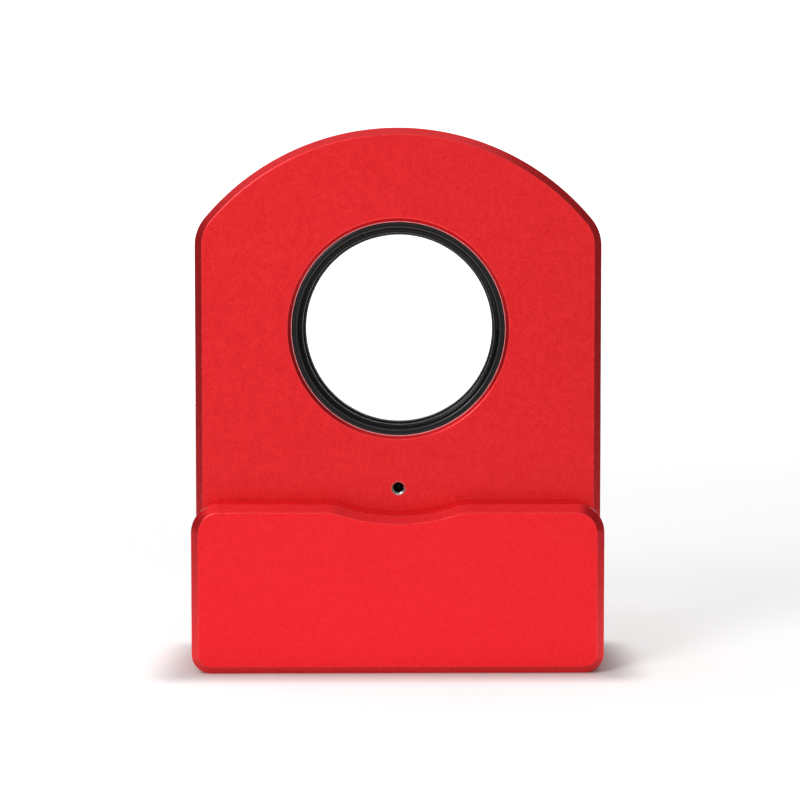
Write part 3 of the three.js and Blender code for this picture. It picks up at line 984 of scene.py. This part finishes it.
class DRAWER_OT_pins(bpy.types.Operator):
    """Build the dowel pins with their chamfered ends"""

    bl_idname = "drawer.pins"
    bl_label = "Dowel Pins"

    def execute(self, context):
        for side in SIDES:
            self.pin(f"cover_dowel_{side}", ALONG_Y, "housing")
            self.pin(f"tray_dowel_{side}", ALONG_Z, "drawer")
        return {"FINISHED"}

    def pin(self, node, axis, body):
        low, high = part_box(node)
        radius = radius_of(node)
        start, end = (low.y, high.y) if axis == ALONG_Y else (low.z, high.z)
        taper = 0.3 * MM
        profile = [
            (0, start),
            (radius - taper, start),
            (radius, start + taper),
            (radius, end - taper),
            (radius - taper, end),
            (0, end),
        ]
        bm = turned(profile, steps=PIN_FACETS, axis=axis, centre=axis_of(node, axis))
        finish_piece(f"{node}_detail", bm, stainless(), body, "stainless", node)


class DRAWER_OT_magnets(bpy.types.Operator):
    """Build the nickel-plated magnets"""

    bl_idname = "drawer.magnets"
    bl_label = "Magnets"

    def execute(self, context):
        for side in SIDES:
            self.magnet(f"housing_magnet_{side}", "housing")
            self.magnet(f"grip_magnet_{side}", "drawer")
        return {"FINISHED"}

    def magnet(self, node, body):
        low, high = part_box(node)
        profile = rod(radius_of(node), low.z, high.z)
        axis = axis_of(node, ALONG_Z)
        bm = turned(profile, steps=DISC_FACETS, axis=ALONG_Z, centre=axis)
        soften(bm, 0.2 * MM)
        plate = handled_metal("nickel plate", finishes().nickel, 0.2)
        finish_piece(f"{node}_detail", bm, plate, body, "nickel", node)


class DRAWER_OT_grip(bpy.types.Operator):
    """Build the grip with the slot, pockets and screw holes that are cut into it"""

    bl_idname = "drawer.grip"
    bl_label = "Grip"

    def execute(self, context):
        s = context.scene.drawer_sizes
        shelf = HOUSING_LOW.z - s.slide_gap
        gap = s.fit_gap
        pocket_low = Vector((TRAY_LOW.x - gap, TRAY_LOW.y - gap, TRAY_LOW.z - gap))
        pocket_high = Vector((TRAY_HIGH.x + gap, TRAY_HIGH.y + gap, 2 * GRIP_HIGH.z))
        groove_low = Vector((SEAL_LOW.x - gap, SEAL_LOW.y - gap, SEAL_LOW.z - gap))
        groove_high = Vector((SEAL_HIGH.x + gap, SEAL_HIGH.y + gap, 2 * GRIP_HIGH.z + PAST))
        cutters = [
            block(
                (-2 * HALF_WIDTH, HOUSING_LOW.y - s.slide_gap, shelf),
                (2 * HALF_WIDTH, HOUSING_HIGH.y + s.slide_gap, 2 * GRIP_HIGH.z + 2 * PAST),
            ),
            block(groove_low, groove_high),
            block(pocket_low, pocket_high),
        ]
        for side in SIDES:
            magnet = f"grip_magnet_{side}"
            cutters.append(magnet_pocket(magnet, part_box(magnet)[0].z - gap, shelf + PAST))
            cutters.append(self.screw_hole(s, f"tray_screw_{side}"))
        bm = carve(grip_blank(), cutters)
        soften(bm, s.edge_round)
        finish_piece(
            "grip_block", bm, grip_red(), "drawer", "red_anodised", "grip", edges=edge_highlight_red()
        )
        return {"FINISHED"}

    def screw_hole(self, s, node):
        head = radius_of(node) + s.fit_gap
        head_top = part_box(node)[0].z + CAP_HEAD
        shank = head * CAP_HOLE
        profile = [
            (0, -PAST),
            (head, -PAST),
            (head, head_top),
            (shank, head_top),
            (shank, TRAY_LOW.z),
            (0, TRAY_LOW.z),
        ]
        axis = axis_of(node, ALONG_Z)
        return turned(profile, steps=CAP_FACETS, axis=ALONG_Z, centre=axis)


class DRAWER_OT_tray(bpy.types.Operator):
    """Build the filter tray with its seat, finger notches and thread"""

    bl_idname = "drawer.tray"
    bl_label = "Filter Tray"

    def execute(self, context):
        s = context.scene.drawer_sizes
        seat_floor = TRAY_HIGH.y - s.filter_seat_depth
        chamfer = 0.35 * MM
        blank = tongue(TRAY_HIGH.x, TRAY_LOW.z, TRAY_LOW.y, TRAY_HIGH.y)
        chamfer_rims(blank, TRAY_LOW.y, TRAY_HIGH.y, chamfer)
        hole = along_bore(
            [
                (0, TRAY_LOW.y - PAST),
                (s.filter_major, TRAY_LOW.y - PAST),
                (s.filter_major, seat_floor),
                (s.filter_seat, seat_floor),
                (s.filter_seat, TRAY_HIGH.y + PAST),
                (0, TRAY_HIGH.y + PAST),
            ]
        )
        dimple_depth = 1.4 * MM  # where the lock screw's tip would press
        dimple = turned(
            [
                (0, TRAY_LOW.y - PAST),
                (dimple_depth + PAST, TRAY_LOW.y - PAST),
                (0, TRAY_LOW.y + dimple_depth),
            ],
            steps=PIN_FACETS,
            centre=LOCK_AXIS,
        )
        bm = carve(blank, [hole, dimple, *self.finger_notches(s, seat_floor)])
        soften(bm, s.fine_round, segments=2)
        finish_piece("tray_plate", bm, milled_black(), "drawer", "black_anodised", "filter_tray")
        start = TRAY_LOW.y + 0.5 * MM
        turns = (seat_floor - TRAY_LOW.y) / s.filter_pitch - 1.2
        root = s.filter_major + THREAD_OVERLAP
        ridge = helix(
            root, s.filter_minor, s.filter_pitch, start, turns, BORE_AXIS, THREAD_FACETS
        )
        finish_piece("tray_thread", ridge, turned_black(), "drawer", "black_anodised")
        return {"FINISHED"}

    def finger_notches(self, s, seat_floor):
        circle = s.filter_seat + s.finger_reach - s.finger_radius
        notches = []
        for quarter in range(4):
            angle = math.pi / 4 + quarter * math.pi / 2
            place = Vector((circle * math.cos(angle), 0, BORE.z + circle * math.sin(angle)))
            profile = rod(s.finger_radius, seat_floor + NUDGE, TRAY_HIGH.y + PAST)
            notches.append(turned(profile, steps=CAP_FACETS, centre=place))
        return notches


class DRAWER_OT_seal(bpy.types.Operator):
    """Build the flocked light seal round the root of the tray"""

    bl_idname = "drawer.seal"
    bl_label = "Light Seal"

    def execute(self, context):
        s = context.scene.drawer_sizes
        gap = s.fit_gap
        hole = block(
            (TRAY_LOW.x - gap, TRAY_LOW.y - gap, SEAL_LOW.z - PAST),
            (TRAY_HIGH.x + gap, TRAY_HIGH.y + gap, SEAL_HIGH.z + PAST),
        )
        bm = carve(block(SEAL_LOW, SEAL_HIGH), [hole])
        soften(bm, 0.25 * MM)
        seal = flocked("black flock", finishes().flock)
        finish_piece("seal_strip", bm, seal, "drawer", "felt", "light_seal")
        return {"FINISHED"}


class DRAWER_OT_stage(bpy.types.Operator):
    """Build the floor, the backdrop, the lights and the camera"""

    bl_idname = "drawer.stage"
    bl_label = "Stage"

    def execute(self, context):
        self.floor()
        self.backdrop()
        self.world(context.scene)
        self.lights()
        self.camera(context.scene)
        context.scene.view_settings.view_transform = "Standard"
        return {"FINISHED"}

    def pale(self, name, glow, albedo, fades=False):
        """A pale surface that shows white to the camera and in reflections, and keeps shadows.

        One that fades is the floor, whose glow has its own shape, which paints light and shade on it.
        """
        material = bpy.data.materials.new(name)
        material.use_nodes = True
        tree = material.node_tree
        tree.nodes.clear()
        output = tree.nodes.new("ShaderNodeOutputMaterial")
        diffuse = tree.nodes.new("ShaderNodeBsdfDiffuse")
        diffuse.inputs["Color"].default_value = (albedo, albedo, albedo, 1)
        emission = tree.nodes.new("ShaderNodeEmission")
        path = tree.nodes.new("ShaderNodeLightPath")
        seen = maths(tree, "MAXIMUM", path.outputs["Is Camera Ray"], path.outputs["Is Glossy Ray"])
        seen = maths(tree, "MAXIMUM", seen, path.outputs["Is Transmission Ray"])
        level = self.pool(tree, glow) if fades else glow
        strength = maths(tree, "MULTIPLY", seen, level)
        tree.links.new(strength, emission.inputs["Strength"])
        both = tree.nodes.new("ShaderNodeAddShader")
        tree.links.new(diffuse.outputs[0], both.inputs[0])
        tree.links.new(emission.outputs[0], both.inputs[1])
        tree.links.new(both.outputs[0], output.inputs["Surface"])
        return material

    def pool(self, tree, glow):
        """The floor's glow, shaped as painted light and shade: none under the object, a painted
        shadow round its foot, none far to its sides, painted shade, and more behind it, a painted
        pool of light.
        """
        place = tree.nodes.new("ShaderNodeTexCoord")
        split = tree.nodes.new("ShaderNodeSeparateXYZ")
        tree.links.new(place.outputs["Object"], split.inputs[0])
        x, y = split.outputs["X"], split.outputs["Y"]
        aside = maths(tree, "ABSOLUTE", x)
        past_side = maths(tree, "MAXIMUM", maths(tree, "SUBTRACT", aside, GRIP_HIGH.x), 0)
        ahead = maths(tree, "ABSOLUTE", y)
        past_front = maths(tree, "MAXIMUM", maths(tree, "SUBTRACT", ahead, GRIP_HIGH.y), 0)
        square = maths(tree, "MULTIPLY", past_side, past_side)
        away = maths(tree, "SQRT", maths(tree, "MULTIPLY_ADD", past_front, past_front, square))
        kind = "SMOOTHSTEP"
        # painted contact shadow: the glow fades to none near the grip
        contact = map_range(tree, away, 0, CONTACT_REACH, 0, glow, kind)
        beyond = maths(tree, "MULTIPLY_ADD", y, -POOL_WIDENING, aside)
        side = map_range(tree, beyond, *POOL_SIDE, 1, 0, kind)
        rise = map_range(tree, y, *POOL_RISE, 1, POOL_GAIN, kind)
        return maths(tree, "MULTIPLY", maths(tree, "MULTIPLY", contact, side), rise)

    def slab(self, name, low, high, material):
        piece = make_object(name, block(low, high))
        piece.data.materials.append(material)

    def floor(self):
        material = self.pale("pale floor", FLOOR_GLOW, PALE, fades=True)
        low = (-FLOOR_HALF_WIDTH, FLOOR_FRONT, GRIP_LOW.z - 5 * MM)
        high = (FLOOR_HALF_WIDTH, FLOOR_BACK, GRIP_LOW.z - NUDGE)
        self.slab("floor", low, high, material)

    def backdrop(self):
        material = self.pale("white backdrop", 1.0, PALE)
        self.slab("backdrop", (-0.5, FLOOR_BACK, -0.3), (0.5, FLOOR_BACK + 0.01, 0.7), material)

    def world(self, scene):
        world = bpy.data.worlds.new("studio")
        scene.world = world
        world.use_nodes = True
        background = world.node_tree.nodes["Background"]
        background.inputs["Color"].default_value = (1, 1, 1, 1)
        background.inputs["Strength"].default_value = WORLD_STRENGTH

    def light(self, name, place, aim, size, power):
        data = bpy.data.lights.new(name, "AREA")
        data.shape = "RECTANGLE"
        data.size, data.size_y = size
        data.energy = power
        lamp = bpy.data.objects.new(name, data)
        lamp.location = place
        towards = Vector(aim) - Vector(place)
        lamp.rotation_euler = towards.to_track_quat("-Z", "Y").to_euler()
        lamp.visible_camera = False
        bpy.context.scene.collection.objects.link(lamp)

    def lights(self):
        for name, place, size, power in LAMPS:
            self.light(name, place, LIT_CENTRE, size, power)

    def camera(self, scene):
        data = bpy.data.cameras.new("camera")
        data.sensor_width = CAMERA_SENSOR
        data.lens = CAMERA_LENS
        data.shift_x = CAMERA_SHIFT[0]
        data.shift_y = CAMERA_SHIFT[1]
        camera = bpy.data.objects.new("camera", data)
        camera.location = CAMERA_PLACE
        camera.rotation_euler = CAMERA_TURN
        scene.collection.objects.link(camera)
        scene.camera = camera


class DRAWER_PT_panel(bpy.types.Panel):
    """Lists the drawer's operators, sizes and colours"""

    bl_idname = "DRAWER_PT_panel"
    bl_label = "Filter Drawer"
    bl_space_type = "VIEW_3D"
    bl_region_type = "UI"
    bl_category = "Filter Drawer"

    def draw(self, context):
        for operator in OPERATORS:
            self.layout.operator(operator.bl_idname)
        for group in (context.scene.drawer_sizes, context.scene.drawer_finishes):
            column = self.layout.column(align=True)
            for name in group.__annotations__:
                column.prop(group, name)


OPERATORS = (
    DRAWER_OT_stage,
    DRAWER_OT_housing,
    DRAWER_OT_cover,
    DRAWER_OT_ports,
    DRAWER_OT_screws,
    DRAWER_OT_pins,
    DRAWER_OT_magnets,
    DRAWER_OT_grip,
    DRAWER_OT_tray,
    DRAWER_OT_seal,
)
CLASSES = (DrawerSizes, DrawerFinishes, *OPERATORS, DRAWER_PT_panel)


def register():
    for cls in CLASSES:
        bpy.utils.register_class(cls)
    bpy.types.Scene.drawer_sizes = PointerProperty(type=DrawerSizes)
    bpy.types.Scene.drawer_finishes = PointerProperty(type=DrawerFinishes)


def unregister():
    del bpy.types.Scene.drawer_finishes
    del bpy.types.Scene.drawer_sizes
    for cls in reversed(CLASSES):
        bpy.utils.unregister_class(cls)


def main():
    register()
    bpy.ops.drawer.stage()
    bpy.ops.drawer.housing()
    bpy.ops.drawer.cover()
    bpy.ops.drawer.ports()
    bpy.ops.drawer.screws()
    bpy.ops.drawer.pins()
    bpy.ops.drawer.magnets()
    bpy.ops.drawer.grip()
    bpy.ops.drawer.tray()
    bpy.ops.drawer.seal()


if __name__ == "__main__":
    main()
